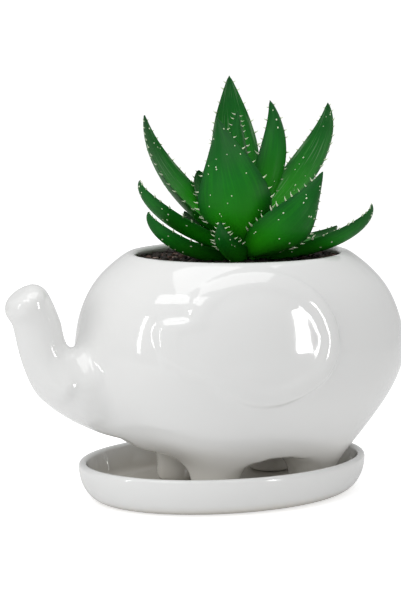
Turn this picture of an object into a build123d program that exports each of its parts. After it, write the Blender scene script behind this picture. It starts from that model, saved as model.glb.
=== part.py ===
from build123d import *

import math
import os
import random

# Elephant shaped planter with its saucer and a small planted aloe, in millimetres.
# The origin is the centre of the saucer's flat underside, +Z is up, and the trunk points to -X.

# Saucer
saucer_length = 126.0
saucer_width = 95.0
saucer_height = 16.0
saucer_wall = 3.4
saucer_floor = 3.5
saucer_draft = 2.4
saucer_heel_radius = 8.0
saucer_cove_radius = 4.0
saucer_rim_radius = 1.5

# Pot body
pot_centre_x = 8.0
pot_height = 99.0
pot_front = 70.0
pot_rear = 70.0
pot_half_width = 56.0
pot_wall = 3.6
belly_height = 16.8
belly_floor = 4.4
pot_rim_radius = 1.6
drain_hole_diameter = 11.0

# Heights of the body's sections, and what each section has of the greatest half sizes
body_height_shares = (0.0, 0.09, 0.17, 0.24, 0.32, 0.42, 0.5, 0.6, 0.71, 0.81, 0.89, 0.95, 1.0)
front_shares = (0.43, 0.45, 0.53, 0.7, 0.84, 0.945, 0.985, 1.0, 0.99, 0.945, 0.875, 0.79, 0.69)
rear_shares = (0.5, 0.54, 0.63, 0.72, 0.81, 0.915, 0.97, 1.0, 0.98, 0.925, 0.845, 0.755, 0.655)
width_shares = (0.545, 0.575, 0.63, 0.72, 0.82, 0.925, 0.975, 1.0, 0.985, 0.95, 0.895, 0.83, 0.755)
squareness_shares = (4.0, 3.6, 3.2, 2.8, 2.6, 2.4, 2.35, 2.3, 2.2, 2.15, 2.1, 2.05, 2.0)
section_points = 24
cavity_steps = 9

# Legs
leg_radius = 10.0
leg_straight = 5.0
leg_flare = 11.0
leg_spread_y = 19.5
front_leg_x = -13.0
rear_leg_x = 32.0
foot_edge_radius = 1.4

# Trunk: the line through its middle, from inside the chest to the tip
trunk_reach = 62.0
trunk_rise = 55.5
trunk_root_x = -30.0
trunk_root_z = 34.5
trunk_radius = 10.5
trunk_end_round = 6.0
trunk_along_shares = (0.0, 0.277, 0.45, 0.627, 0.745, 0.81, 0.897, 0.987)
trunk_up_shares = (0.0, 0.099, 0.177, 0.31, 0.414, 0.524, 0.861, 1.0)
trunk_radius_shares = (0.952, 1.067, 1.143, 1.16, 1.02, 0.895, 0.89, 0.94)
trunk_flat_share = 1.06

# Ears
ear_front_x = -47.0
ear_length = 71.5
ear_low_z = 46.0
ear_height = 54.0
ear_relief = 3.4
ear_pan_depth = 1.3
ear_rim_width = 6.5
ear_along_shares = (0.17, 0.2, 0.28, 0.41, 0.59, 0.78, 0.91, 0.985, 1.0, 0.93, 0.77, 0.58, 0.37, 0.18, 0.04, 0.0, 0.03)
ear_up_shares = (0.69, 0.82, 0.91, 0.975, 1.0, 0.93, 0.8, 0.62, 0.4, 0.21, 0.06, 0.0, 0.08, 0.22, 0.33, 0.48, 0.62)

# What fills the pot
mesh_diameter = 32.0
mesh_thickness = 1.0
mesh_hole = 2.4
mesh_pitch = 3.8
seat_gap = 0.3
mix_below_rim = 6.6
grit_bed_thickness = 2.2
root_ball_radius = 24.0
root_ball_base_radius = 18.0
root_ball_depth = 42.0
root_ball_round = 5.0

# Loose grit on the bed
grit_size = 5.0
grit_least_share = 0.6
grit_height_share = 0.55
grit_corners = (5, 6, 7)
grit_least_lean = 14.0
grit_most_lean = 30.0
grit_order = ("grit_dark", "grit_brown", "grit_dark", "grit_pale")
grit_tries = 600
grit_seed = 11

# Aloe
crown_x = 9.0
crown_radius = 5.5
crown_height = 19.0
crown_top_share = 0.62
leaf_width = 30.0
leaf_thickness = 4.6
leaf_tip_width = 0.8
leaf_root_radius = 2.5
leaf_gap = 0.3
leaf_reach = 50.0
leaf_rise = 75.0
leaf_station_shares = (0.0, 0.12, 0.28, 0.46, 0.64, 0.82, 0.94, 1.0)
leaf_width_shares = (0.3, 0.64, 0.94, 0.98, 0.75, 0.39, 0.13, 0.0)
leaf_thickness_shares = (0.8, 1.0, 0.95, 0.8, 0.62, 0.42, 0.26, 0.14)
leaf_channel_share = 0.1
leaf_underside_drop = 0.6

# Each leaf, from the heart of the rosette outwards: name, facing in degrees, how far up the crown it starts,
# then the direction, reach and rise of its middle and of its tip, and its width, all but the angles as shares
leaf_shares = (
    ("leaf_heart", -100, 0.9, 95, 0.09, 0.6, 80, 0.17, 0.83, 0.4),
    ("leaf_upright", -95, 0.84, -12, 0.25, 0.58, 14, 0.29, 0.89, 0.46),
    ("leaf_back_tall", 78, 0.78, 76, 0.36, 0.66, 76, 0.58, 1.02, 0.66),
    ("leaf_front_broad", -118, 0.6, -132, 0.34, 0.42, 165, 0.22, 0.8, 1.0),
    ("leaf_right_tall", 14, 0.62, 8, 0.67, 0.56, 15, 0.96, 0.865, 0.7),
    ("leaf_left_tall", 130, 0.56, 137, 0.62, 0.48, 127, 0.94, 0.8, 0.68),
    ("leaf_back_small", 108, 0.5, 110, 0.4, 0.36, 108, 0.54, 0.49, 0.5),
    ("leaf_back_right", 48, 0.45, 48, 0.5, 0.34, 46, 0.84, 0.5, 0.7),
    ("leaf_left", 165, 0.42, 162, 0.64, 0.3, 152, 0.86, 0.45, 0.58),
    ("leaf_front_right", -108, 0.34, -73, 0.58, 0.25, -44, 0.68, 0.51, 0.72),
    ("leaf_back", 82, 0.28, 82, 0.5, 0.24, 80, 0.8, 0.4, 0.66),
    ("leaf_right_low", -34, 0.26, -34, 0.8, 0.18, -24, 1.07, 0.32, 0.56),
    ("leaf_left_low", 178, 0.2, 180, 0.64, 0.165, 171, 0.81, 0.29, 0.52),
    ("leaf_front_small", -130, 0.2, -136, 0.44, 0.15, -137, 0.51, 0.25, 0.44),
    ("leaf_right_under", 0, 0.16, -4, 0.6, 0.11, -4, 0.86, 0.18, 0.58),
    ("leaf_back_left", 122, 0.16, 122, 0.4, 0.16, 120, 0.6, 0.26, 0.56),
    ("leaf_right_back", 26, 0.14, 26, 0.56, 0.15, 25, 0.88, 0.29, 0.56),
)

# How far cuts run past what they cut, and the side of the boxes that cut right across the pot
cut_overrun = 2.0
cut_side = pot_front * 4


def smooth_value(places, values, place):
    """Value at a place on the smooth curve through a table."""
    last = len(places) - 1
    slopes = []
    for i in range(last + 1):
        low = max(i - 1, 0)
        high = min(i + 1, last)
        slopes.append((values[high] - values[low]) / (places[high] - places[low]))
    for i in range(last):
        if place <= places[i + 1] or i == last - 1:
            span = places[i + 1] - places[i]
            t = (place - places[i]) / span
            rise = values[i + 1] - values[i]
            a = slopes[i] * span - rise
            b = rise - slopes[i + 1] * span
            return values[i] + rise * t + t * (1 - t) * (a * (1 - t) + b * t)


def half_sizes(z):
    """Front, rear and side half sizes of the body at a height, and how square its section is."""
    share = (z - saucer_floor) / pot_height
    front = pot_front * smooth_value(body_height_shares, front_shares, share)
    rear = pot_rear * smooth_value(body_height_shares, rear_shares, share)
    side = pot_half_width * smooth_value(body_height_shares, width_shares, share)
    squareness = smooth_value(body_height_shares, squareness_shares, share)
    return front, rear, side, squareness


def inset_sizes(z, inset):
    """Half sizes of the body at a height, drawn in by a wall measured square to the surface."""
    step = pot_height / section_points
    low_z = max(z - step, saucer_floor)
    high_z = min(z + step, rim_z)
    below = half_sizes(low_z)
    above = half_sizes(high_z)
    here = half_sizes(z)
    drawn = []
    for i in range(3):
        slope = (above[i] - below[i]) / (high_z - low_z)
        drawn.append(here[i] - inset * math.sqrt(1 + slope * slope))
    return drawn[0], drawn[1], drawn[2], here[3]


def body_section(z, inset=0.0):
    """Closed smooth outline of the body at a height, drawn in by a wall."""
    front, rear, side, squareness = inset_sizes(z, inset)
    points = []
    for i in range(section_points):
        angle = 2 * math.pi * i / section_points
        power = 2 / squareness
        along = math.copysign(abs(math.cos(angle)) ** power, math.cos(angle))
        across = math.copysign(abs(math.sin(angle)) ** power, math.sin(angle))
        half_length = rear if along > 0 else front
        points.append((pot_centre_x + half_length * along, side * across, z))
    return make_face(Spline(*points, periodic=True))


def body_solid(levels, inset=0.0):
    """Solid of the body's shape through sections at the given heights."""
    return loft([body_section(z, inset) for z in levels])


rim_z = saucer_floor + pot_height
belly_z = saucer_floor + belly_height
cavity_floor_z = belly_z + belly_floor
mix_top_z = rim_z - mix_below_rim
bed_top_z = mix_top_z + grit_bed_thickness
body_levels = [saucer_floor + pot_height * share for share in body_height_shares]
cavity_depth = rim_z - cavity_floor_z
cavity_levels = [cavity_floor_z + cavity_depth * i / cavity_steps for i in range(cavity_steps + 1)]


def saucer_plan(draw_in, z):
    """Ellipse of the saucer at a height, drawn in from the rim."""
    ellipse = Ellipse(saucer_length / 2 - draw_in, saucer_width / 2 - draw_in)
    return Pos(0, 0, z) * ellipse


def saucer():
    """Oval dish with a rounded heel, a coved floor and a rounded rim."""
    outside = loft([saucer_plan(saucer_draft, 0), saucer_plan(0, saucer_height)])
    outside = fillet(outside.edges().group_by(Axis.Z)[0], saucer_heel_radius)
    floor_draw = saucer_wall + saucer_draft * (1 - saucer_floor / saucer_height)
    inside = loft([saucer_plan(floor_draw, saucer_floor), saucer_plan(saucer_wall, saucer_height)])
    inside = fillet(inside.edges().group_by(Axis.Z)[0], saucer_cove_radius)
    dish = outside - inside
    rim_edges = dish.edges().group_by(Axis.Z)[-1]
    return fillet(rim_edges, saucer_rim_radius)


def leg(x, y):
    """Short leg that stands straight and then flares out into the belly."""
    flare_z = saucer_floor + leg_straight
    flare_radius = leg_radius + leg_flare
    bend = leg_flare * (1 - math.sqrt(0.5))
    arc_mid = (leg_radius + bend, flare_z + leg_flare - bend)
    top_z = flare_z + leg_flare + belly_floor
    profile = Polyline(
        (flare_radius, flare_z + leg_flare),
        (flare_radius, top_z),
        (0, top_z),
        (0, saucer_floor),
        (leg_radius, saucer_floor),
        (leg_radius, flare_z),
    )
    arc = ThreePointArc((leg_radius, flare_z), arc_mid, (flare_radius, flare_z + leg_flare))
    outline = make_face([*profile.edges(), arc])
    turned = revolve(Plane.XZ * outline, Axis.Z)
    turned = fillet(turned.edges().group_by(Axis.Z)[0], foot_edge_radius)
    return Pos(x, y, 0) * turned


def trunk_point(i):
    """Point of the trunk's middle line."""
    x = trunk_root_x - trunk_reach * trunk_along_shares[i]
    z = trunk_root_z + trunk_rise * trunk_up_shares[i]
    return Vector(x, 0, z)


def trunk():
    """Raised trunk: round sections square to the middle line, with a rounded tip."""
    sections = []
    last = len(trunk_along_shares) - 1
    for i in range(last + 1):
        direction = trunk_point(min(i + 1, last)) - trunk_point(max(i - 1, 0))
        plane = Plane(trunk_point(i), x_dir=(0, 1, 0), z_dir=direction)
        radius = trunk_radius * trunk_radius_shares[i]
        sections.append(plane * Ellipse(radius * trunk_flat_share, radius))
    solid = loft(sections)
    tip_top = trunk_point(last) + Vector(0, 0, trunk_radius * trunk_radius_shares[last])
    tip_edges = solid.edges().sort_by_distance(tip_top)
    return fillet(tip_edges[0], trunk_end_round)


def ear_outline(draw_in):
    """Rounded flap seen from the side, drawn in towards its middle."""
    middle_x = ear_front_x + ear_length / 2
    middle_z = ear_low_z + ear_height / 2
    keep_x = 1 - 2 * draw_in / ear_length
    keep_z = 1 - 2 * draw_in / ear_height
    points = []
    for along, up in zip(ear_along_shares, ear_up_shares):
        x = middle_x + (ear_front_x + ear_length * along - middle_x) * keep_x
        z = middle_z + (ear_low_z + ear_height * up - middle_z) * keep_z
        points.append((x, 0, z))
    return make_face(Spline(*points, periodic=True))


def ear_layer(body, draw_in, relief):
    """Part of the flap: the body swung outwards about the flap's lower front corner, inside the outline."""
    corner = (ear_front_x, 0, ear_low_z)
    reach = math.hypot(ear_length, ear_height)
    turn = math.degrees(relief / reach)
    hinge = Axis(corner, (ear_height, 0, -ear_length))
    swung = body.rotate(hinge, turn)
    flap = extrude(ear_outline(draw_in), amount=-(pot_half_width + cut_overrun * 2), dir=(0, 1, 0))
    return swung & flap


def near_ear(body):
    """Relief ear with a raised rim round a shallow pan."""
    rim = ear_layer(body, 0, ear_relief)
    pan = ear_layer(body, ear_rim_width, ear_relief - ear_pan_depth)
    hollow = extrude(ear_outline(ear_rim_width), amount=-(pot_half_width * 2), dir=(0, 1, 0))
    return (rim - hollow) + pan


def elephant_pot():
    """The whole pot in one piece of glazed ceramic."""
    body = body_solid(body_levels)
    under = Pos(pot_centre_x, 0, belly_z / 2) * Box(cut_side, cut_side, belly_z)
    legs = []
    for x in (front_leg_x, rear_leg_x):
        for y in (-leg_spread_y, leg_spread_y):
            legs.append(leg(x, y) & body)
    pot = body - under
    for each in legs:
        pot = pot + each
    pot = pot + trunk()
    ear = near_ear(body)
    pot = pot + ear + mirror(ear, about=Plane.XZ)
    cavity = body_solid(cavity_levels, pot_wall)
    pot = pot - cavity
    pot = fillet(pot.edges().group_by(Axis.Z)[-1], pot_rim_radius)
    drain = Pos(pot_centre_x, 0, belly_z) * Cylinder(drain_hole_diameter / 2, belly_floor * 4)
    return pot - drain


def cavity_fill(low_z, high_z):
    """What fills the cavity between two heights, a seating gap inside its wall."""
    fill = body_solid(cavity_levels, pot_wall + seat_gap)
    slab = Box(cut_side, cut_side, high_z - low_z)
    return fill & Pos(pot_centre_x, 0, (low_z + high_z) / 2) * slab


def drain_mesh():
    """Thin plastic disc with square holes that keeps the mix from washing out."""
    disc = Circle(mesh_diameter / 2)
    steps = int((mesh_diameter / 2 - mesh_pitch) / mesh_pitch)
    holes = []
    for i in range(-steps, steps + 1):
        for j in range(-steps, steps + 1):
            x = i * mesh_pitch
            y = j * mesh_pitch
            if math.hypot(x, y) < mesh_diameter / 2 - mesh_pitch:
                holes.append(Pos(x, y) * Rectangle(mesh_hole, mesh_hole))
    sheet = disc - holes
    return Pos(pot_centre_x, 0, cavity_floor_z) * extrude(sheet, amount=mesh_thickness)


def root_ball(grow=0.0):
    """Tapered root ball, or the pit that takes it when it is grown by a gap."""
    low_z = bed_top_z - root_ball_depth - grow
    high_z = bed_top_z
    profile = Polyline(
        (0, low_z),
        (root_ball_base_radius + grow, low_z),
        (root_ball_radius + grow, high_z),
        (0, high_z),
        close=True,
    )
    turned = revolve(Plane.XZ * make_face(profile), Axis.Z)
    turned = fillet(turned.edges().group_by(Axis.Z)[0], root_ball_round + grow)
    return Pos(crown_x, 0, 0) * turned


def potting_mix():
    """The mix that fills the cavity, with a pit for the root ball."""
    return cavity_fill(cavity_floor_z + mesh_thickness, mix_top_z) - root_ball(seat_gap)


def grit_bed():
    """Thin layer of fine grit over the mix, open over the root ball."""
    return cavity_fill(mix_top_z, bed_top_z) - root_ball(seat_gap)


def aloe_crown(grow=0.0):
    """Short stem that carries the leaves."""
    stem = Cone(crown_radius + grow, crown_radius * crown_top_share + grow, crown_height)
    return Pos(crown_x, 0, bed_top_z + crown_height / 2) * stem


def polar(angle, reach_share, rise_share):
    """Point given by its direction and its shares of the leaves' reach and rise."""
    turn = math.radians(angle)
    reach = leaf_reach * reach_share
    return Vector(crown_x + reach * math.cos(turn), reach * math.sin(turn), bed_top_z + leaf_rise * rise_share)


def leaf_line(row):
    """Start, bend and tip of a leaf's middle line."""
    turn = math.radians(row[1])
    start_x = crown_x + leaf_root_radius * math.cos(turn)
    start_y = leaf_root_radius * math.sin(turn)
    start = Vector(start_x, start_y, bed_top_z + crown_height * row[2])
    middle = polar(row[3], row[4], row[5])
    tip = polar(row[6], row[7], row[8])
    bend = middle * 2 - (start + tip) * 0.5
    return start, bend, tip


def leaf_place(row, share):
    """Point and direction of a leaf's middle line, a share of the way along it."""
    start, bend, tip = leaf_line(row)
    rest = 1 - share
    point = start * (rest * rest) + bend * (2 * rest * share) + tip * (share * share)
    direction = ((bend - start) * rest + (tip - bend) * share).normalized()
    return point, direction


def leaf(row, grow=0.0):
    """One fleshy leaf: channelled on its upper side, rounded below, narrowing to a point."""
    turn = math.radians(row[1])
    outward = Vector(math.cos(turn), math.sin(turn), -leaf_underside_drop)
    sections = []
    for share, wide, thick in zip(leaf_station_shares, leaf_width_shares, leaf_thickness_shares):
        point, direction = leaf_place(row, share)
        outer = (outward - direction * outward.dot(direction)).normalized()
        plane = Plane(point, x_dir=direction.cross(outer), z_dir=direction)
        half_width = (leaf_width * row[9] * wide + leaf_tip_width) / 2
        channel = half_width * 2 * leaf_channel_share
        depth = channel + leaf_thickness * thick
        left = (-half_width - grow, grow)
        right = (half_width + grow, grow)
        upper = ThreePointArc(left, (0, grow - channel), right)
        lower = ThreePointArc(right, (0, -depth - grow), left)
        sections.append(plane * make_face([upper, lower]))
    return loft(sections)


def aloe_leaves():
    """All leaves; each one is cut back where it meets the crown, the bed and the leaves inside it."""
    ground_z = bed_top_z + leaf_gap
    depth = root_ball_depth
    ground = Pos(crown_x, 0, ground_z - depth / 2) * Box(cut_side, cut_side, depth)
    inner = [aloe_crown(leaf_gap), ground]
    finished = {}
    for row in leaf_shares:
        whole = leaf(row)
        box = whole.bounding_box()
        for other in inner:
            near = other.bounding_box()
            apart = (
                box.min.X > near.max.X
                or box.max.X < near.min.X
                or box.min.Y > near.max.Y
                or box.max.Y < near.min.Y
                or box.min.Z > near.max.Z
                or box.max.Z < near.min.Z
            )
            if not apart:
                whole = whole - other
        finished[row[0]] = max(whole.solids(), key=lambda solid: solid.volume)
        inner.append(leaf(row, leaf_gap))
    return finished


def leaf_covers(x, y, size):
    """Whether a leaf hangs so low over a place that no grain fits there."""
    for row in leaf_shares:
        for share, wide in zip(leaf_station_shares, leaf_width_shares):
            point, _ = leaf_place(row, share)
            half_width = leaf_width * row[9] * wide / 2
            low_z = point.Z - leaf_thickness - half_width * 2 * leaf_channel_share
            near = math.hypot(point.X - x, point.Y - y) < half_width + size
            if near and low_z < bed_top_z + size:
                return True
    return False


def grit():
    """Loose angular grains on the bed, by colour, and those that lie on the root ball."""
    chance = random.Random(grit_seed)
    inner_limit = root_ball_radius + seat_gap + grit_size / 2
    front, rear, side, _ = inset_sizes(bed_top_z, pot_wall + seat_gap)
    placed = []
    groups = {"grit_dark": [], "grit_brown": [], "grit_pale": [], "grit_on_roots": []}
    for attempt in range(grit_tries):
        angle = chance.uniform(0, 2 * math.pi)
        spread = math.sqrt(chance.uniform(0, 1))
        size = grit_size * chance.uniform(grit_least_share, 1.0)
        turn = chance.uniform(0, 90)
        corners = chance.choice(grit_corners)
        lean = chance.uniform(grit_least_lean, grit_most_lean)
        length = (rear if math.cos(angle) > 0 else front) - grit_size
        x = pot_centre_x + length * spread * math.cos(angle)
        y = (side - grit_size) * spread * math.sin(angle)
        from_crown = math.hypot(x - crown_x, y)
        if from_crown < crown_radius + grit_size:
            continue
        if inner_limit - grit_size < from_crown < inner_limit:
            continue
        if any(math.hypot(x - px, y - py) < (size + other) / 2 + seat_gap for px, py, other in placed):
            continue
        if leaf_covers(x, y, size):
            continue
        placed.append((x, y, size))
        outline = RegularPolygon(size / 2, corners)
        grain = extrude(outline, amount=size * grit_height_share, taper=lean)
        grain = Pos(x, y, bed_top_z) * Rot(0, 0, turn) * grain
        if from_crown < inner_limit:
            groups["grit_on_roots"].append(grain)
        else:
            name = grit_order[len(placed) % len(grit_order)]
            groups[name].append(grain)
    return {name: Compound(grains) for name, grains in groups.items()}


def save(shape, name):
    """Write one piece under its name."""
    os.makedirs("parts", exist_ok=True)
    export_step(shape, "parts/" + name + ".step")


save(saucer(), "saucer")
save(elephant_pot(), "elephant_pot")
save(drain_mesh(), "drain_mesh")
save(potting_mix(), "potting_mix")
save(grit_bed(), "grit_bed")
save(root_ball(), "root_ball")
save(aloe_crown(), "aloe_crown")
for name, solid in aloe_leaves().items():
    save(solid, name)
for name, grains in grit().items():
    save(grains, name)
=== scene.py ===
import math
import random

import bmesh
import bpy
from mathutils import Matrix, Vector, noise
from mathutils.bvhtree import BVHTree


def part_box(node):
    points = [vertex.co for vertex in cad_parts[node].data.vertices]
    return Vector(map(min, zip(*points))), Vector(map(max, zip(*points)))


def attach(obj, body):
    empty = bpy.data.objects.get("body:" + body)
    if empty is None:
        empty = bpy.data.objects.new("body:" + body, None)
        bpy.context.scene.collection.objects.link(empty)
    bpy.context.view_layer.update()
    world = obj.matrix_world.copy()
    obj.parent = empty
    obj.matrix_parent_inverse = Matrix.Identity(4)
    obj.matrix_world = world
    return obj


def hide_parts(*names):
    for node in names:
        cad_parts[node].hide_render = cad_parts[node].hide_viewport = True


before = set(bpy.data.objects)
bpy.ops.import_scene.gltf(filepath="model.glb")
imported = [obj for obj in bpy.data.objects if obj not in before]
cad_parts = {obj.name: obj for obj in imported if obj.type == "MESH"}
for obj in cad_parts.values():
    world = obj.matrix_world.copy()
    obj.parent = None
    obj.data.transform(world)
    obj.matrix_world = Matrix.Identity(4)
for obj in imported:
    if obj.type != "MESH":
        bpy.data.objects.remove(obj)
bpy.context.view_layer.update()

MM = 0.001

# Camera, as it stood for the photograph
CAMERA_AZIMUTH = math.radians(-25.0)
CAMERA_ELEVATION = math.radians(7.8)
CAMERA_DISTANCE = 890 * MM
CAMERA_LENS = 126.9
VIEW_MIDDLE_X = 7 * MM
VIEW_SHIFT_LEFT = 16 * MM
VIEW_HEIGHT = 81.5 * MM
POT_CENTRE_X = 8 * MM

# Saucer
SAUCER_WALL = 3.4 * MM
SAUCER_FLOOR = 3.5 * MM
SAUCER_DRAFT = 2.4 * MM
SAUCER_HEEL = 8 * MM
SAUCER_COVE = 4 * MM
SAUCER_STEPS = 160

# Glazed pot
POT_VOXEL = 1.15 * MM
POT_SMOOTHING = 3
CREASE_FILL = 17 * MM
CREASE_REAR = -20 * MM
CREASE_BELOW_RIM = 12 * MM
CREASE_BEFORE_RIM = -68 * MM
CREASE_FADE_FROM = 17 * MM
CREASE_FADE = 9 * MM
JOINT_FRONT = -74 * MM
JOINT_REAR = -26 * MM
JOINT_TOP = 78 * MM
CHEST_FRONT = -58 * MM
CHEST_TOP = 36 * MM
CREASE_SMOOTHING = 28

# Middle line of the trunk and its radii, as the solid has them
TRUNK_ROOT = Vector((-30, 0, 34.5)) * MM
TRUNK_REACH = 62 * MM
TRUNK_RISE = 55.5 * MM
TRUNK_RADIUS = 10.5 * MM
TRUNK_ALONG = (0.0, 0.277, 0.45, 0.627, 0.745, 0.81, 0.897, 0.987)
TRUNK_UP = (0.0, 0.099, 0.177, 0.31, 0.414, 0.524, 0.861, 1.0)
TRUNK_RADII = (0.952, 1.067, 1.143, 1.16, 1.02, 0.895, 0.89, 0.94)

# Rosette of leaves, with the sizes of the solid leaves; the heart and the small front leaf are slimmer
LEAF_WIDTH = 30 * MM
LEAF_THICKNESS = 4.6 * MM
LEAF_TIP_WIDTH = 0.8 * MM
LEAF_ROOT_RADIUS = 2.5 * MM
LEAF_REACH = 50 * MM
LEAF_RISE = 75 * MM
LEAF_CHANNEL = 0.1
LEAF_UNDERSIDE_DROP = 0.6
LEAF_STATIONS = (0.0, 0.12, 0.28, 0.46, 0.64, 0.82, 0.94, 1.0)
LEAF_WIDTHS = (0.3, 0.64, 0.94, 0.98, 0.75, 0.39, 0.13, 0.0)
LEAF_THICKNESSES = (0.8, 1.0, 0.95, 0.8, 0.62, 0.42, 0.26, 0.14)
SMALL_LEAF = "leaf_front_small"
SMALL_LEAF_WIDTHS = (0.8, 0.96, 0.88, 0.68, 0.46, 0.24, 0.09, 0.0)
LEAF_RINGS = 44
LEAF_AROUND = 24

# Name, facing in degrees, start up the crown, then direction, reach and rise of the middle and of the tip,
# width, spacing of the teeth in millimetres, and how many pale dots
LEAVES = (
    ("leaf_heart", -100, 0.9, 95, 0.09, 0.6, 80, 0.17, 0.83, 0.27, 4.2, 4),
    ("leaf_upright", -95, 0.84, -12, 0.25, 0.58, 14, 0.29, 0.89, 0.46, 6.0, 12),
    ("leaf_back_tall", 78, 0.78, 76, 0.36, 0.66, 76, 0.58, 1.02, 0.66, 6.0, 26),
    ("leaf_front_broad", -118, 0.6, -132, 0.34, 0.42, 165, 0.22, 0.8, 1.0, 6.2, 38),
    ("leaf_right_tall", 14, 0.62, 8, 0.67, 0.56, 15, 0.96, 0.865, 0.7, 5.2, 28),
    ("leaf_left_tall", 130, 0.56, 137, 0.62, 0.48, 127, 0.94, 0.8, 0.68, 5.2, 28),
    ("leaf_back_small", 108, 0.5, 110, 0.4, 0.36, 108, 0.54, 0.49, 0.5, 4.6, 8),
    ("leaf_back_right", 48, 0.45, 48, 0.5, 0.34, 46, 0.84, 0.5, 0.7, 5.4, 14),
    ("leaf_left", 165, 0.42, 162, 0.64, 0.3, 152, 0.86, 0.45, 0.58, 5.2, 20),
    ("leaf_front_right", -108, 0.34, -73, 0.58, 0.25, -44, 0.68, 0.51, 0.72, 4.6, 24),
    ("leaf_back", 82, 0.28, 82, 0.5, 0.24, 80, 0.8, 0.4, 0.66, 5.4, 14),
    ("leaf_right_low", -34, 0.26, -34, 0.8, 0.18, -24, 1.07, 0.32, 0.56, 5.0, 18),
    ("leaf_left_low", 178, 0.2, 180, 0.64, 0.165, 171, 0.81, 0.29, 0.52, 5.0, 16),
    ("leaf_front_small", -130, 0.2, -136, 0.44, 0.15, -137, 0.51, 0.25, 0.42, 3.6, 8),
    ("leaf_right_under", 0, 0.16, -4, 0.6, 0.11, -4, 0.86, 0.18, 0.58, 5.2, 12),
    ("leaf_back_left", 122, 0.16, 122, 0.4, 0.16, 120, 0.6, 0.26, 0.56, 5.2, 8),
    ("leaf_right_back", 26, 0.14, 26, 0.56, 0.15, 25, 0.88, 0.29, 0.56, 5.2, 10),
)

# Grains of grit: piece, node that it stands for, body, how many, and sizes in millimetres
GRAINS = (
    ("dark_grains", "grit_dark", "pot", 620, (1.5, 3.2), "grit_dark"),
    ("brown_grains", "grit_brown", "pot", 330, (1.4, 3.0), "grit_brown"),
    ("pale_grains", "grit_pale", "pot", 130, (1.2, 2.6), "grit_pale"),
    ("grains_on_roots", "grit_on_roots", "plant", 330, (1.3, 2.8), "grit_dark"),
)
GRAIN_SHAPES = 14


def new_object(name, bm, smooth=True):
    """Blender object from a finished bmesh, at the origin."""
    mesh = bpy.data.meshes.new(name)
    bm.to_mesh(mesh)
    bm.free()
    for face in mesh.polygons:
        face.use_smooth = smooth
    made = bpy.data.objects.new(name, mesh)
    bpy.context.scene.collection.objects.link(made)
    return made


def merged_copy(node):
    """A bmesh with the shape of a frame node, its loose triangles joined."""
    bm = bmesh.new()
    bm.from_mesh(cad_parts[node].data)
    bmesh.ops.remove_doubles(bm, verts=bm.verts, dist=0.002 * MM)
    return bm


def small_shape(name, bm):
    """Mesh of a small shape that is placed many times."""
    shape = bpy.data.meshes.new(name)
    bm.to_mesh(shape)
    bm.free()
    return shape


def place_shape(bm, shape, where):
    """Add a small shape to a piece, moved by a matrix."""
    first = len(bm.verts)
    bm.from_mesh(shape)
    bm.verts.ensure_lookup_table()
    for vert in bm.verts[first:]:
        vert.co = where @ vert.co


def evened(bm, voxel):
    """The same shape as a bmesh with even faces, its parts joined in one skin."""
    rough = new_object("uneven", bm)
    remesh = rough.modifiers.new("even", "REMESH")
    remesh.mode = "VOXEL"
    remesh.voxel_size = voxel
    graph = bpy.context.evaluated_depsgraph_get()
    even = bpy.data.meshes.new_from_object(rough.evaluated_get(graph))
    bpy.data.objects.remove(rough, do_unlink=True)
    made = bmesh.new()
    made.from_mesh(even)
    bpy.data.meshes.remove(even)
    return made


def smooth(bm, verts, times):
    """Relax vertices towards their neighbours."""
    for _ in range(times):
        bmesh.ops.smooth_vert(bm, verts=verts, factor=0.5, use_axis_x=True, use_axis_y=True, use_axis_z=True)


def dress(piece, body, node, slot, *materials):
    """Put a piece on its body, in place of its frame node, with its materials."""
    for material in materials:
        piece.data.materials.append(material)
    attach(piece, body)
    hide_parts(node)
    return piece


def smooth_value(places, values, place):
    """Value at a place on the smooth curve through a table."""
    last = len(places) - 1
    slopes = []
    for i in range(last + 1):
        low = max(i - 1, 0)
        high = min(i + 1, last)
        slopes.append((values[high] - values[low]) / (places[high] - places[low]))
    for i in range(last):
        if place <= places[i + 1] or i == last - 1:
            span = places[i + 1] - places[i]
            t = (place - places[i]) / span
            rise = values[i + 1] - values[i]
            a = slopes[i] * span - rise
            b = rise - slopes[i + 1] * span
            return values[i] + rise * t + t * (1 - t) * (a * (1 - t) + b * t)


# Node groups that several finishes share

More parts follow.
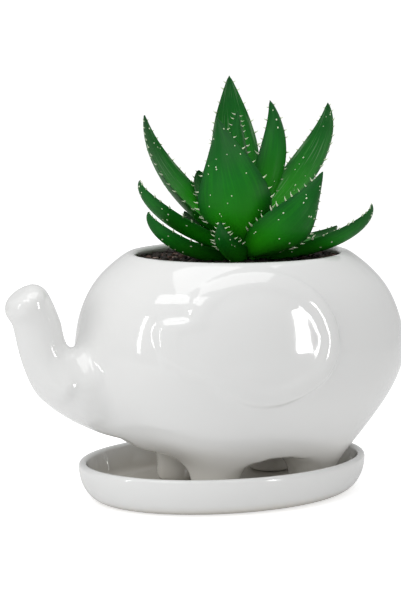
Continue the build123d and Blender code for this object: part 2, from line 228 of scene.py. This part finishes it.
def speckle_group():
    """Soft cloudy variation between two colours, with the same mask as a value."""
    group = bpy.data.node_groups.new("cloudy_variation", "ShaderNodeTree")
    face = group.interface
    for name, kind in (("Scale", "NodeSocketFloat"), ("Detail", "NodeSocketFloat"), ("Contrast", "NodeSocketFloat")):
        face.new_socket(name, in_out="INPUT", socket_type=kind)
    face.new_socket("First", in_out="INPUT", socket_type="NodeSocketColor")
    face.new_socket("Second", in_out="INPUT", socket_type="NodeSocketColor")
    face.new_socket("Color", in_out="OUTPUT", socket_type="NodeSocketColor")
    face.new_socket("Mask", in_out="OUTPUT", socket_type="NodeSocketFloat")
    nodes, links = group.nodes, group.links
    given = nodes.new("NodeGroupInput")
    out = nodes.new("NodeGroupOutput")
    place = nodes.new("ShaderNodeTexCoord")
    cloud = nodes.new("ShaderNodeTexNoise")
    spread = nodes.new("ShaderNodeMapRange")
    mix = nodes.new("ShaderNodeMix")
    mix.data_type = "RGBA"
    half = nodes.new("ShaderNodeMath")
    half.operation = "MULTIPLY"
    half.inputs[1].default_value = 0.5
    low = nodes.new("ShaderNodeMath")
    low.operation = "SUBTRACT"
    low.inputs[0].default_value = 0.5
    high = nodes.new("ShaderNodeMath")
    high.operation = "ADD"
    high.inputs[0].default_value = 0.5
    links.new(place.outputs["Object"], cloud.inputs["Vector"])
    links.new(given.outputs["Scale"], cloud.inputs["Scale"])
    links.new(given.outputs["Detail"], cloud.inputs["Detail"])
    links.new(given.outputs["Contrast"], half.inputs[0])
    links.new(half.outputs[0], low.inputs[1])
    links.new(half.outputs[0], high.inputs[1])
    links.new(cloud.outputs["Fac"], spread.inputs["Value"])
    links.new(low.outputs[0], spread.inputs["From Min"])
    links.new(high.outputs[0], spread.inputs["From Max"])
    links.new(spread.outputs["Result"], mix.inputs["Factor"])
    links.new(given.outputs["First"], mix.inputs["A"])
    links.new(given.outputs["Second"], mix.inputs["B"])
    links.new(mix.outputs["Result"], out.inputs["Color"])
    links.new(spread.outputs["Result"], out.inputs["Mask"])
    return group


def add_cloud(material, group, scale, detail, contrast, first, second):
    """Place the cloudy variation in a material with its own values."""
    node = material.node_tree.nodes.new("ShaderNodeGroup")
    node.node_tree = group
    node.inputs["Scale"].default_value = scale
    node.inputs["Detail"].default_value = detail
    node.inputs["Contrast"].default_value = contrast
    node.inputs["First"].default_value = (*first, 1)
    node.inputs["Second"].default_value = (*second, 1)
    return node


def add_bump(material, height, strength, distance):
    """Bump from a height, joined to the shader's normal."""
    nodes, links = material.node_tree.nodes, material.node_tree.links
    bump = nodes.new("ShaderNodeBump")
    bump.inputs["Strength"].default_value = strength
    bump.inputs["Distance"].default_value = distance
    links.new(height, bump.inputs["Height"])
    links.new(bump.outputs["Normal"], nodes["Principled BSDF"].inputs["Normal"])
    return bump


def add_range(material, value, low, high, to_low, to_high):
    """Spread a value over a new range."""
    node = material.node_tree.nodes.new("ShaderNodeMapRange")
    node.inputs["From Min"].default_value = low
    node.inputs["From Max"].default_value = high
    node.inputs["To Min"].default_value = to_low
    node.inputs["To Max"].default_value = to_high
    material.node_tree.links.new(value, node.inputs["Value"])
    return node


def add_mix(material, factor, first, second):
    """Blend two colours, each given as a socket or as a colour."""
    nodes, links = material.node_tree.nodes, material.node_tree.links
    mix = nodes.new("ShaderNodeMix")
    mix.data_type = "RGBA"
    links.new(factor, mix.inputs["Factor"])
    for name, value in (("A", first), ("B", second)):
        if isinstance(value, tuple):
            mix.inputs[name].default_value = (*value, 1)
        else:
            links.new(value, mix.inputs[name])
    return mix


def new_material(name, roughness, coat=0.0, coat_roughness=0.05):
    """Material with its Principled shader set."""
    material = bpy.data.materials.new(name)
    material.use_nodes = True
    shader = material.node_tree.nodes["Principled BSDF"]
    shader.inputs["Roughness"].default_value = roughness
    shader.inputs["Coat Weight"].default_value = coat
    shader.inputs["Coat Roughness"].default_value = coat_roughness
    return material, shader


def below_height_mask(material, low, high):
    """Mask that grows downwards between two heights; it places the pot's painted shade low down, and its bare foot.
    """
    nodes, links = material.node_tree.nodes, material.node_tree.links
    place = nodes.new("ShaderNodeTexCoord")
    split = nodes.new("ShaderNodeSeparateXYZ")
    links.new(place.outputs["Object"], split.inputs[0])
    return add_range(material, split.outputs["Z"], low, high, 1, 0)


def saucer_inside_shade_mask(material, half_length, half_width):
    """Mask of what lies inside the saucer's wall, as seen from above, for the painted shade there."""
    nodes, links = material.node_tree.nodes, material.node_tree.links
    place = nodes.new("ShaderNodeTexCoord")
    squeeze = nodes.new("ShaderNodeMapping")
    squeeze.inputs["Scale"].default_value = (1 / half_length, 1 / half_width, 0)
    length = nodes.new("ShaderNodeVectorMath")
    length.operation = "LENGTH"
    links.new(place.outputs["Object"], squeeze.inputs["Vector"])
    links.new(squeeze.outputs["Vector"], length.inputs[0])
    return add_range(material, length.outputs["Value"], 0.88, 0.95, 1, 0)


def glaze_material(cloud, name, painted_shade_mask, foot_height):
    """Glossy white glaze, gently uneven, with painted warm shade where the mask says, over a bare matt foot."""
    material, shader = new_material(name, 0.1, 0.5, 0.03)
    nodes, links = material.node_tree.nodes, material.node_tree.links
    shade_mask = painted_shade_mask(material)
    tint = add_cloud(material, cloud, 14, 2, 0.7, (0.795, 0.8, 0.795), (0.83, 0.83, 0.82))
    # Painted shade: where the mask is set, the colour is drawn up to 80 % of the way to a darker warm grey
    half = add_range(material, shade_mask.outputs["Result"], 0, 1, 0, 0.8)
    shade_tinted = add_mix(material, half.outputs["Result"], tint.outputs["Color"], (0.76, 0.725, 0.655))
    foot = below_height_mask(material, foot_height, foot_height + 0.5 * MM)
    colour = add_mix(material, foot.outputs["Result"], shade_tinted.outputs["Result"], (0.66, 0.6, 0.5))
    links.new(colour.outputs["Result"], shader.inputs["Base Color"])
    uneven = add_range(material, tint.outputs["Mask"], 0, 1, 0.06, 0.11)
    bare = add_range(material, foot.outputs["Result"], 0, 1, 0, 0.6)
    dull = nodes.new("ShaderNodeMath")
    dull.operation = "ADD"
    links.new(uneven.outputs["Result"], dull.inputs[0])
    links.new(bare.outputs["Result"], dull.inputs[1])
    links.new(dull.outputs[0], shader.inputs["Roughness"])
    ripple = add_cloud(material, cloud, 45, 1, 1, (0, 0, 0), (1, 1, 1))
    add_bump(material, ripple.outputs["Mask"], 0.25, 0.12 * MM)
    return material


def leaf_value(material, name):
    """Value that a leaf's points carry."""
    node = material.node_tree.nodes.new("ShaderNodeAttribute")
    node.attribute_name = name
    return node.outputs["Fac"]


def leaf_lines(material, along, across, scale, low, high, most):
    """Fine lines that run along a leaf."""
    nodes, links = material.node_tree.nodes, material.node_tree.links
    joined = nodes.new("ShaderNodeCombineXYZ")
    links.new(across, joined.inputs["X"])
    links.new(along, joined.inputs["Y"])
    stretch = nodes.new("ShaderNodeMapping")
    stretch.inputs["Scale"].default_value = (scale, 1.1, 1)
    links.new(joined.outputs[0], stretch.inputs["Vector"])
    lines = nodes.new("ShaderNodeTexNoise")
    lines.inputs["Scale"].default_value = 2.4
    lines.inputs["Detail"].default_value = 3
    links.new(stretch.outputs[0], lines.inputs["Vector"])
    return add_range(material, lines.outputs["Fac"], low, high, 0, most)


def leaf_material(cloud, name, dark, middle, bright, streak):
    """Fleshy leaf: bright low down, with painted shade at the tip and margins, and pale streaks in its channel."""
    material, shader = new_material(name, 0.4)
    shader.inputs["Specular IOR Level"].default_value = 0.12
    shader.inputs["Subsurface Weight"].default_value = 0.06
    shader.inputs["Subsurface Radius"].default_value = (0.3, 1.0, 0.1)
    shader.inputs["Subsurface Scale"].default_value = 1.2 * MM
    nodes, links = material.node_tree.nodes, material.node_tree.links
    along = leaf_value(material, "along")
    across = leaf_value(material, "across")
    upper = leaf_value(material, "upper")
    glow = add_range(material, along, 0.1, 0.62, 1, 0)
    glow.interpolation_type = "SMOOTHSTEP"
    body = add_mix(material, glow.outputs["Result"], middle, bright)
    # Painted shade: darker towards the margins and the tip, where the rounded leaf turns from the light
    square = nodes.new("ShaderNodeMath")
    square.operation = "MULTIPLY"
    links.new(across, square.inputs[0])
    links.new(across, square.inputs[1])
    edge = add_range(material, square.outputs[0], 0.25, 1, 0, 0.75)
    tip = add_range(material, along, 0.55, 1, 0, 0.9)
    most = nodes.new("ShaderNodeMath")
    most.operation = "MAXIMUM"
    links.new(edge.outputs["Result"], most.inputs[0])
    links.new(tip.outputs["Result"], most.inputs[1])
    edge_tip_shaded = add_mix(material, most.outputs[0], body.outputs["Result"], dark)
    fine = leaf_lines(material, along, across, 7, 0.5, 0.75, 0.22)
    lined = add_mix(material, fine.outputs["Result"], edge_tip_shaded.outputs["Result"], bright)
    pale = leaf_lines(material, along, across, 4, 0.55, 0.68, 0.42)
    inner = nodes.new("ShaderNodeMath")
    inner.operation = "MULTIPLY"
    links.new(pale.outputs["Result"], inner.inputs[0])
    links.new(upper, inner.inputs[1])
    streaked = add_mix(material, inner.outputs[0], lined.outputs["Result"], streak)
    blotch = add_cloud(material, cloud, 70, 3, 0.7, (0.72, 0.76, 0.7), (1, 1, 1))
    # Random blotches in the leaf's own colour
    blotched = nodes.new("ShaderNodeMix")
    blotched.data_type = "RGBA"
    blotched.blend_type = "MULTIPLY"
    blotched.inputs["Factor"].default_value = 1
    links.new(streaked.outputs["Result"], blotched.inputs["A"])
    links.new(blotch.outputs["Color"], blotched.inputs["B"])
    links.new(blotched.outputs["Result"], shader.inputs["Base Color"])
    wax = add_range(material, blotch.outputs["Mask"], 0, 1, 0.34, 0.5)
    links.new(wax.outputs["Result"], shader.inputs["Roughness"])
    grain = add_cloud(material, cloud, 420, 2, 0.8, (0, 0, 0), (1, 1, 1))
    add_bump(material, grain.outputs["Mask"], 0.25, 0.2 * MM)
    return material


def tooth_material(cloud):
    """Horny cream white of the teeth and dots."""
    material, shader = new_material("horny_tooth", 0.45)
    tint = add_cloud(material, cloud, 220, 2, 0.6, (0.6, 0.78, 0.42), (0.92, 0.96, 0.82))
    material.node_tree.links.new(tint.outputs["Color"], shader.inputs["Base Color"])
    return material


def stone_material(cloud, name, first, second):
    """Rough grain of grit with two close colours."""
    material, shader = new_material(name, 0.75)
    tint = add_cloud(material, cloud, 380, 4, 0.5, first, second)
    material.node_tree.links.new(tint.outputs["Color"], shader.inputs["Base Color"])
    add_bump(material, tint.outputs["Mask"], 0.7, 0.25 * MM)
    return material


def soil_material(cloud):
    """Dark crumbly mix with lighter fibres."""
    material, shader = new_material("potting_mix", 0.92)
    tint = add_cloud(material, cloud, 160, 6, 0.5, (0.022, 0.014, 0.009), (0.11, 0.07, 0.042))
    material.node_tree.links.new(tint.outputs["Color"], shader.inputs["Base Color"])
    add_bump(material, tint.outputs["Mask"], 1, 1.2 * MM)
    return material


def plastic_material(cloud):
    """Matt black plastic of the drain mesh."""
    material, shader = new_material("mesh_plastic", 0.55)
    tint = add_cloud(material, cloud, 300, 2, 0.6, (0.02, 0.02, 0.02), (0.035, 0.035, 0.033))
    material.node_tree.links.new(tint.outputs["Color"], shader.inputs["Base Color"])
    add_bump(material, tint.outputs["Mask"], 0.3, 0.1 * MM)
    return material


def trunk_stations():
    """Points of the trunk's middle line with the radius at each."""
    points = [TRUNK_ROOT + Vector((-TRUNK_REACH * a, 0, TRUNK_RISE * u)) for a, u in zip(TRUNK_ALONG, TRUNK_UP)]
    return list(zip(points, [TRUNK_RADIUS * share for share in TRUNK_RADII]))


def trunk_distance(stations, place):
    """How far a place lies from the trunk's skin."""
    nearest = TRUNK_REACH
    for (low, low_radius), (high, high_radius) in zip(stations, stations[1:]):
        span = high - low
        share = min(max((place - low).dot(span) / span.dot(span), 0), 1)
        radius = low_radius + (high_radius - low_radius) * share
        nearest = min(nearest, (place - low - span * share).length - radius)
    return nearest


def fill_creases(bm, stations):
    """Raise the skin on both sides of the crease between trunk and body, as in a soft cast joint."""
    bm.normal_update()
    mix = merged_copy("potting_mix")
    filling = BVHTree.FromBMesh(mix)
    mix.free()
    rim_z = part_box("elephant_pot")[1].z
    away = {}
    for vert in bm.verts:
        place = vert.co
        by_rim = place.z > rim_z - CREASE_BELOW_RIM and place.x > CREASE_BEFORE_RIM
        if place.x > CREASE_REAR or by_rim:
            continue
        if filling.find_nearest(place, 1.6 * MM)[0] is not None:
            continue
        distance = trunk_distance(stations, place)
        if distance < CREASE_FILL:
            away[vert] = distance
    of_trunk = {vert for vert, distance in away.items() if distance < 0.8 * MM}
    bm.verts.index_update()
    faces = [[v.index for v in face.verts] for face in bm.faces if not any(v in of_trunk for v in face.verts)]
    body = BVHTree.FromPolygons([v.co.copy() for v in bm.verts], faces)
    moves = []
    for vert, distance in away.items():
        if vert in of_trunk:
            near = body.find_nearest(vert.co, CREASE_FILL)
            distance = near[3] if near[0] is not None else CREASE_FILL
        rest = CREASE_FILL - max(distance, 0)
        faded = min(max((vert.co.z - CREASE_FADE_FROM) / CREASE_FADE, 0), 1)
        moves.append((vert, vert.normal * (faded * rest * rest / (4 * CREASE_FILL))))
    for vert, move in moves:
        vert.co += move


def glazed_pot(glaze):
    """The elephant: the frame's solid with its creases melted as thick glaze melts them."""
    bm = evened(merged_copy("elephant_pot"), POT_VOXEL)
    stations = trunk_stations()
    fill_creases(bm, stations)
    bm = evened(bm, POT_VOXEL)
    smooth(bm, list(bm.verts), POT_SMOOTHING)
    front = [v for v in bm.verts if JOINT_FRONT < v.co.x < JOINT_REAR and v.co.z < JOINT_TOP]
    chest = {v for v in front if v.co.x > CHEST_FRONT and v.co.z < CHEST_TOP}
    joint = [v for v in front if v in chest or trunk_distance(stations, v.co) < CREASE_FILL * 0.7]
    smooth(bm, joint, CREASE_SMOOTHING)
    pot = new_object("elephant_glazed", bm)
    return dress(pot, "pot", "elephant_pot", "glaze", glaze)


def glazed_saucer(glaze):
    """Oval dish spun from its profile, then drawn in across to its width."""
    low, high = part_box("saucer")
    half_length = high.x + 0.24 * MM
    half_width = high.y + 0.24 * MM
    top = high.z
    rim = SAUCER_WALL / 2
    profile = [(half_length, 0), (SAUCER_DRAFT + SAUCER_HEEL, 0)]
    for i in range(1, 12):
        turn = math.pi / 2 * i / 12
        profile.append(((SAUCER_DRAFT + SAUCER_HEEL) * (1 - math.sin(turn)), (top - rim) * (1 - math.cos(turn))))
    for i in range(0, 13):
        turn = math.pi * i / 12
        profile.append((rim - rim * math.cos(turn), top - rim + rim * math.sin(turn)))
    floor_draw = SAUCER_WALL + SAUCER_DRAFT * 0.8
    for i in range(0, 9):
        turn = math.pi / 2 * i / 8
        out = SAUCER_COVE * (1 - math.cos(turn))
        profile.append((floor_draw + out, SAUCER_FLOOR + SAUCER_COVE * (1 - math.sin(turn))))
    profile.append((half_length, SAUCER_FLOOR))
    bm = bmesh.new()
    drawn = [bm.verts.new((half_length - draw_in, 0, z)) for draw_in, z in profile]
    edges = [bm.edges.new((a, b)) for a, b in zip(drawn, drawn[1:])]
    bmesh.ops.spin(
        bm, geom=drawn + edges, cent=(0, 0, 0), axis=(0, 0, 1), dvec=(0, 0, 0),
        angle=2 * math.pi, steps=SAUCER_STEPS, use_merge=True, use_duplicate=False,
    )
    bmesh.ops.remove_doubles(bm, verts=bm.verts, dist=0.01 * MM)
    for v in bm.verts:
        reach = math.hypot(v.co.x, v.co.y)
        if reach > 0:
            v.co.y *= max(reach - (half_length - half_width), 0) / reach
    bmesh.ops.recalc_face_normals(bm, faces=bm.faces)
    dish = new_object("saucer_glazed", bm)
    return dress(dish, "saucer", "saucer", "glaze", glaze)


def crown_middle():
    """Foot of the rosette and the height of its stem, from the frame."""
    low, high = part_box("aloe_crown")
    return Vector(((low.x + high.x) / 2, (low.y + high.y) / 2, low.z)), high.z - low.z


def leaf_place(row, share):
    """Point, direction, across and outward of a leaf, a share of the way along it."""
    foot, crown_height = crown_middle()
    turn = math.radians(row[1])
    facing = Vector((math.cos(turn), math.sin(turn), 0))
    start = foot + facing * LEAF_ROOT_RADIUS + Vector((0, 0, crown_height * row[2]))

    def polar(angle, reach, rise):
        bearing = math.radians(angle)
        flat = Vector((math.cos(bearing), math.sin(bearing), 0)) * LEAF_REACH * reach
        return foot + flat + Vector((0, 0, LEAF_RISE * rise))

    middle = polar(*row[3:6])
    tip = polar(*row[6:9])
    bend = middle * 2 - (start + tip) * 0.5
    rest = 1 - share
    point = start * rest * rest + bend * 2 * rest * share + tip * share * share
    direction = ((bend - start) * rest + (tip - bend) * share).normalized()
    outward = facing + Vector((0, 0, -LEAF_UNDERSIDE_DROP))
    outer = (outward - direction * outward.dot(direction)).normalized()
    return point, direction, direction.cross(outer), outer


def leaf_surface(row, share, side, under):
    """Point on a leaf's upper or lower face: side runs from -1 to 1 across it."""
    point, direction, across, outer = leaf_place(row, share)
    widths = SMALL_LEAF_WIDTHS if row[0] == SMALL_LEAF else LEAF_WIDTHS
    width = LEAF_WIDTH * row[9] * smooth_value(LEAF_STATIONS, widths, share) + LEAF_TIP_WIDTH
    width *= 1 - max(share - 0.97, 0) / 0.03 * 0.7
    channel = width * LEAF_CHANNEL
    thick = LEAF_THICKNESS * smooth_value(LEAF_STATIONS, LEAF_THICKNESSES, share)
    curve = 1 - side * side
    keel = (1 - abs(side)) ** 3 * 0.12
    drop = (channel + thick) * (curve * 0.93 + keel) if under else channel * curve
    return point + across * (side * width / 2) + outer * drop


def tooth_shape():
    """Horny tooth one unit long, bent towards the leaf's tip."""
    bm = bmesh.new()
    bmesh.ops.create_cone(bm, cap_ends=True, segments=6, radius1=0.22, radius2=0.08, depth=0.6)
    bmesh.ops.translate(bm, verts=bm.verts, vec=(0, 0, 0.3))
    top = [face for face in bm.faces if face.calc_center_median().z > 0.55]
    spike = bmesh.ops.extrude_discrete_faces(bm, faces=top)["faces"]
    bmesh.ops.scale(bm, verts=spike[0].verts, vec=(0.2, 0.2, 1))
    bmesh.ops.translate(bm, verts=spike[0].verts, vec=(0.16, 0, 0.4))
    return small_shape("tooth", bm)


def dot_shape():
    """Low pale bump half a unit wide."""
    bm = bmesh.new()
    bmesh.ops.create_icosphere(bm, subdivisions=1, radius=0.5)
    bmesh.ops.scale(bm, verts=bm.verts, vec=(1, 1.3, 0.6))
    return small_shape("dot", bm)


def turned(point, aim, side, size):
    """Matrix that stands a shape at a point, along an aim, its own X towards a side."""
    forward = (side - aim * side.dot(aim)).normalized()
    other = aim.cross(forward)
    return Matrix((
        (forward.x * size, other.x * size, aim.x * size, point.x),
        (forward.y * size, other.y * size, aim.y * size, point.y),
        (forward.z * size, other.z * size, aim.z * size, point.z),
        (0, 0, 0, 1),
    ))


def leaf_body(bm, row):
    """Skin of one leaf: a grid wrapped round its channelled sections."""
    along = bm.verts.layers.float.new("along")
    across = bm.verts.layers.float.new("across")
    upper = bm.verts.layers.float.new("upper")
    bmesh.ops.create_grid(bm, x_segments=LEAF_RINGS, y_segments=LEAF_AROUND, size=1)
    for vert in bm.verts:
        share = 1 - (1 - (vert.co.x + 1) / 2) ** 1.15
        around = (vert.co.y + 1) / 2
        side = -math.cos(2 * math.pi * around)
        vert[along] = share
        vert[across] = abs(side)
        vert[upper] = 1 if 0.03 < around < 0.47 else 0
        vert.co = leaf_surface(row, share, side, around > 0.5)
    bmesh.ops.remove_doubles(bm, verts=bm.verts, dist=0.003 * MM)
    bmesh.ops.holes_fill(bm, edges=[edge for edge in bm.edges if edge.is_boundary], sides=0)
    bmesh.ops.recalc_face_normals(bm, faces=bm.faces)


def add_teeth(bm, row, tooth, chance):
    """Teeth along both margins, a little uneven in size and spacing."""
    points = [leaf_place(row, i / 20)[0] for i in range(21)]
    length = sum((b - a).length for a, b in zip(points, points[1:]))
    teeth = int(length / (row[10] * MM))
    for margin in (-1, 1):
        for i in range(teeth):
            share = 0.14 + 0.84 * (i + chance.uniform(0.2, 0.8)) / teeth
            _, direction, sideways, outer = leaf_place(row, share)
            aim = sideways * margin + direction * chance.uniform(0.2, 0.5) - outer * chance.uniform(0, 0.5)
            size = chance.uniform(1.8, 2.7) * MM * (1.1 - 0.45 * share)
            root = leaf_surface(row, share, margin * 0.985, False)
            place_shape(bm, tooth, turned(root, aim.normalized(), direction, size))


def add_dots(bm, row, dot, chance):
    """Pale raised dots scattered over the leaf, most of them on its underside."""
    for _ in range(row[11]):
        share = chance.uniform(0.14, 0.93)
        side = chance.uniform(-0.8, 0.8)
        under = chance.random() < 0.75
        direction = leaf_place(row, share)[1]
        middle = leaf_surface(row, share, side, under)
        sideways = leaf_surface(row, share, side + 0.05, under) - middle
        aim = direction.cross(sideways).normalized()
        place_shape(bm, dot, turned(middle, aim, sideways.normalized(), chance.uniform(0.42, 0.85) * MM))


def leaf_piece(row, skin, horn, tooth, dot, chance):
    """One leaf with its toothed margins and pale raised dots."""
    horny = bmesh.new()
    add_teeth(horny, row, tooth, chance)
    add_dots(horny, row, dot, chance)
    for face in horny.faces:
        face.material_index = 1
    horny_parts = small_shape("horny_parts", horny)
    bm = bmesh.new()
    leaf_body(bm, row)
    bm.from_mesh(horny_parts)
    bpy.data.meshes.remove(horny_parts)
    return dress(new_object(row[0] + "_skin", bm), "plant", row[0], "leaf_green", skin, horn)


def grain_shapes(chance):
    """A few angular grains one unit across: blocks with their edges and corners broken off."""
    shapes = []
    for _ in range(GRAIN_SHAPES):
        bm = bmesh.new()
        bmesh.ops.create_cube(bm, size=1)
        bmesh.ops.bevel(
            bm, geom=bm.verts[:] + bm.edges[:], offset=chance.uniform(0.2, 0.3), offset_type="OFFSET",
            segments=1, profile=0.5, affect="EDGES", material=-1,
        )
        for vert in bm.verts:
            vert.co += Vector((chance.uniform(-1, 1), chance.uniform(-1, 1), chance.uniform(-1, 1))) * 0.09
        bmesh.ops.recalc_face_normals(bm, faces=bm.faces)
        shapes.append(small_shape("grain", bm))
    return shapes


def grain_piece(name, node, body, count, sizes, slot, material, shapes, chance):
    """Loose grains heaped on the bed, or on the root ball between the leaves."""
    bed_low, bed_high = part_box("grit_bed")
    root_low, root_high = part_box("root_ball")
    middle = (bed_low + bed_high) / 2
    half = (bed_high - bed_low) / 2
    root_middle = (root_low + root_high) / 2
    root_radius = (root_high.x - root_low.x) / 2
    on_roots = body == "plant"
    bm = bmesh.new()
    for _ in range(count):
        size = chance.uniform(*sizes) * MM
        angle = chance.uniform(0, 2 * math.pi)
        spread = math.sqrt(chance.uniform(0, 1))
        if on_roots:
            reach = (root_radius - size) * spread
            x = root_middle.x + reach * math.cos(angle)
            y = root_middle.y + reach * math.sin(angle)
        else:
            x = middle.x + (half.x - size * 1.2) * spread * math.cos(angle)
            y = (half.y - size * 1.2) * spread * math.sin(angle)
            if math.hypot(x - root_middle.x, y) < root_radius + size * 0.7:
                continue
        z = bed_high.z + size * chance.uniform(0.0, 0.35)
        shape = Matrix.Diagonal((size, size * chance.uniform(0.7, 1), size * chance.uniform(0.5, 0.75), 1))
        turn = Matrix.Rotation(chance.uniform(0, 2 * math.pi), 4, "Z")
        tilt = Matrix.Rotation(chance.uniform(-0.6, 0.6), 4, "X")
        place_shape(bm, chance.choice(shapes), Matrix.Translation((x, y, z)) @ turn @ tilt @ shape)
    return dress(new_object(name, bm, smooth=False), body, node, slot, material)


def rooted_ball(material):
    """Root ball with a crumbly side, kept inside the pit."""
    bm = evened(merged_copy("root_ball"), 1.3 * MM)
    bm.normal_update()
    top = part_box("root_ball")[1].z
    moves = []
    for vert in bm.verts:
        lump = noise.fractal(vert.co / (5 * MM), 1, 2, 4)
        depth = 0.9 * MM * (0.5 + 0.5 * lump)
        moves.append(vert.normal * -depth if vert.co.z < top - 1 * MM else Vector((0, 0, 0)))
    for vert, move in zip(bm.verts, moves):
        vert.co += move
    return dress(new_object("root_ball_soil", bm), "plant", "root_ball", "mix", material)


def paint(node, material):
    """Give a frame node that stays its own finish."""
    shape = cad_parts[node]
    if not shape.data.materials:
        shape.data.materials.append(material)
    for place in shape.material_slots:
        place.material = material


def seen_whiter(tree, strength, level, extra):
    """Give a light surface its level, and more where the camera looks straight at it."""
    path = tree.nodes.new("ShaderNodeLightPath")
    sum_up = tree.nodes.new("ShaderNodeMath")
    sum_up.operation = "MULTIPLY_ADD"
    sum_up.inputs[1].default_value = extra
    sum_up.inputs[2].default_value = level
    tree.links.new(path.outputs["Is Camera Ray"], sum_up.inputs[0])
    tree.links.new(sum_up.outputs[0], strength)


def add_floor():
    """Plain white sweep under and behind the object."""
    bm = bmesh.new()
    bmesh.ops.create_grid(bm, x_segments=1, y_segments=1, size=6)
    sweep = new_object("floor", bm)
    material, shader = new_material("white_floor", 0.8)
    shader.inputs["Base Color"].default_value = (0.82, 0.82, 0.82, 1)
    shader.inputs["Emission Color"].default_value = (1, 1, 1, 1)
    shader.inputs["Specular IOR Level"].default_value = 0.1
    seen_whiter(material.node_tree, shader.inputs["Emission Strength"], 0.1, 0.48)
    sweep.data.materials.append(material)


def add_camera():
    """Camera at the photograph's angle and distance."""
    right = Vector((math.cos(CAMERA_AZIMUTH), math.sin(CAMERA_AZIMUTH), 0))
    flat = math.cos(CAMERA_ELEVATION)
    back = Vector((
        math.sin(CAMERA_AZIMUTH) * flat,
        -math.cos(CAMERA_AZIMUTH) * flat,
        math.sin(CAMERA_ELEVATION),
    ))
    target = Vector((VIEW_MIDDLE_X, 0, VIEW_HEIGHT)) - right * VIEW_SHIFT_LEFT
    data = bpy.data.cameras.new("photo_camera")
    data.lens = CAMERA_LENS
    data.sensor_width = 36
    data.clip_start = 0.01
    camera = bpy.data.objects.new("photo_camera", data)
    camera.matrix_world = Matrix.Translation(target + back * CAMERA_DISTANCE) @ Matrix((
        (right.x, back.cross(right).x, back.x, 0),
        (right.y, back.cross(right).y, back.y, 0),
        (right.z, back.cross(right).z, back.z, 0),
        (0, 0, 0, 1),
    ))
    bpy.context.scene.collection.objects.link(camera)
    bpy.context.scene.camera = camera


def add_softbox(name, azimuth, elevation, distance, width, height, power, fills=True, shines=True):
    """Rectangular softbox aimed at the pot that fills, shines in the gloss, or both; azimuth as the camera's."""
    turn = math.radians(azimuth)
    rise = math.radians(elevation)
    aim = Vector((POT_CENTRE_X, 0, 80 * MM))
    away = Vector((math.sin(turn) * math.cos(rise), -math.cos(turn) * math.cos(rise), math.sin(rise)))
    data = bpy.data.lights.new(name, "AREA")
    data.shape = "RECTANGLE"
    data.size = width
    data.size_y = height
    data.energy = power
    lamp = bpy.data.objects.new(name, data)
    lamp.location = aim + away * distance
    lamp.visible_diffuse = fills
    lamp.visible_glossy = shines
    lamp.rotation_euler = away.to_track_quat("Z", "Y").to_euler()
    bpy.context.scene.collection.objects.link(lamp)


def add_light():
    """Bright white studio: pale walls, a broad overhead box, a tall window on the right and two strips."""
    world = bpy.data.worlds.new("studio")
    world.use_nodes = True
    sky = world.node_tree.nodes["Background"]
    sky.inputs["Color"].default_value = (1, 1, 1, 1)
    seen_whiter(world.node_tree, sky.inputs["Strength"], 0.56, 0.54)
    bpy.context.scene.world = world
    bpy.context.scene.view_settings.view_transform = "Standard"
    add_softbox("overhead", -25, 80, 1.1, 1.0, 0.8, 4.5)
    add_softbox("upper_left", -62, 50, 1.0, 0.6, 0.2, 1.1)
    add_softbox("low_left", -80, 14, 1.0, 0.5, 0.3, 1.3, shines=False)
    add_softbox("right_window", 25, 9, 0.95, 0.085, 0.4, 1.5, fills=False)
    add_softbox("left_strip", -82, 16, 1.1, 0.06, 0.5, 0.9, fills=False)


def build():
    """Make every piece and its finish."""
    cloud = speckle_group()
    add_floor()
    add_camera()
    add_light()
    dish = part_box("saucer")[1]
    # Saucer glaze: painted warm shade inside the dish
    glazed_saucer(glaze_material(cloud, "saucer_glaze", lambda m: saucer_inside_shade_mask(m, dish.x, dish.y), -1 * MM))
    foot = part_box("elephant_pot")[0].z
    # Pot glaze: painted warm shade over the lowest 26 mm, under the belly and round the legs, over a bare matt foot
    glazed_pot(glaze_material(cloud, "pot_glaze", lambda m: below_height_mask(m, foot, foot + 26 * MM), foot + 0.05 * MM))
    # Leaf colours: painted shade for tip and margins, middle green, bright green low down, pale streaks
    skin = leaf_material(
        cloud, "aloe_skin", (0.003, 0.06, 0.012), (0.006, 0.16, 0.012), (0.025, 0.38, 0.004), (0.3, 0.5, 0.28),
    )
    horn = tooth_material(cloud)
    tooth = tooth_shape()
    dot = dot_shape()
    chance = random.Random(7)
    for row in LEAVES:
        leaf_piece(row, skin, horn, tooth, dot, chance)
    stones = {
        "grit_dark": stone_material(cloud, "dark_grit", (0.012, 0.009, 0.008), (0.05, 0.034, 0.028)),
        "grit_brown": stone_material(cloud, "brown_grit", (0.06, 0.03, 0.022), (0.17, 0.09, 0.07)),
        "grit_pale": stone_material(cloud, "pale_grit", (0.2, 0.13, 0.11), (0.42, 0.32, 0.28)),
    }
    shapes = grain_shapes(chance)
    for name, node, body, count, sizes, slot in GRAINS:
        grain_piece(name, node, body, count, sizes, slot, stones[slot], shapes, chance)
    soil = soil_material(cloud)
    rooted_ball(soil)
    paint("potting_mix", soil)
    paint("grit_bed", stones["grit_dark"])
    paint("drain_mesh", plastic_material(cloud))
    paint("aloe_crown", skin)


build()
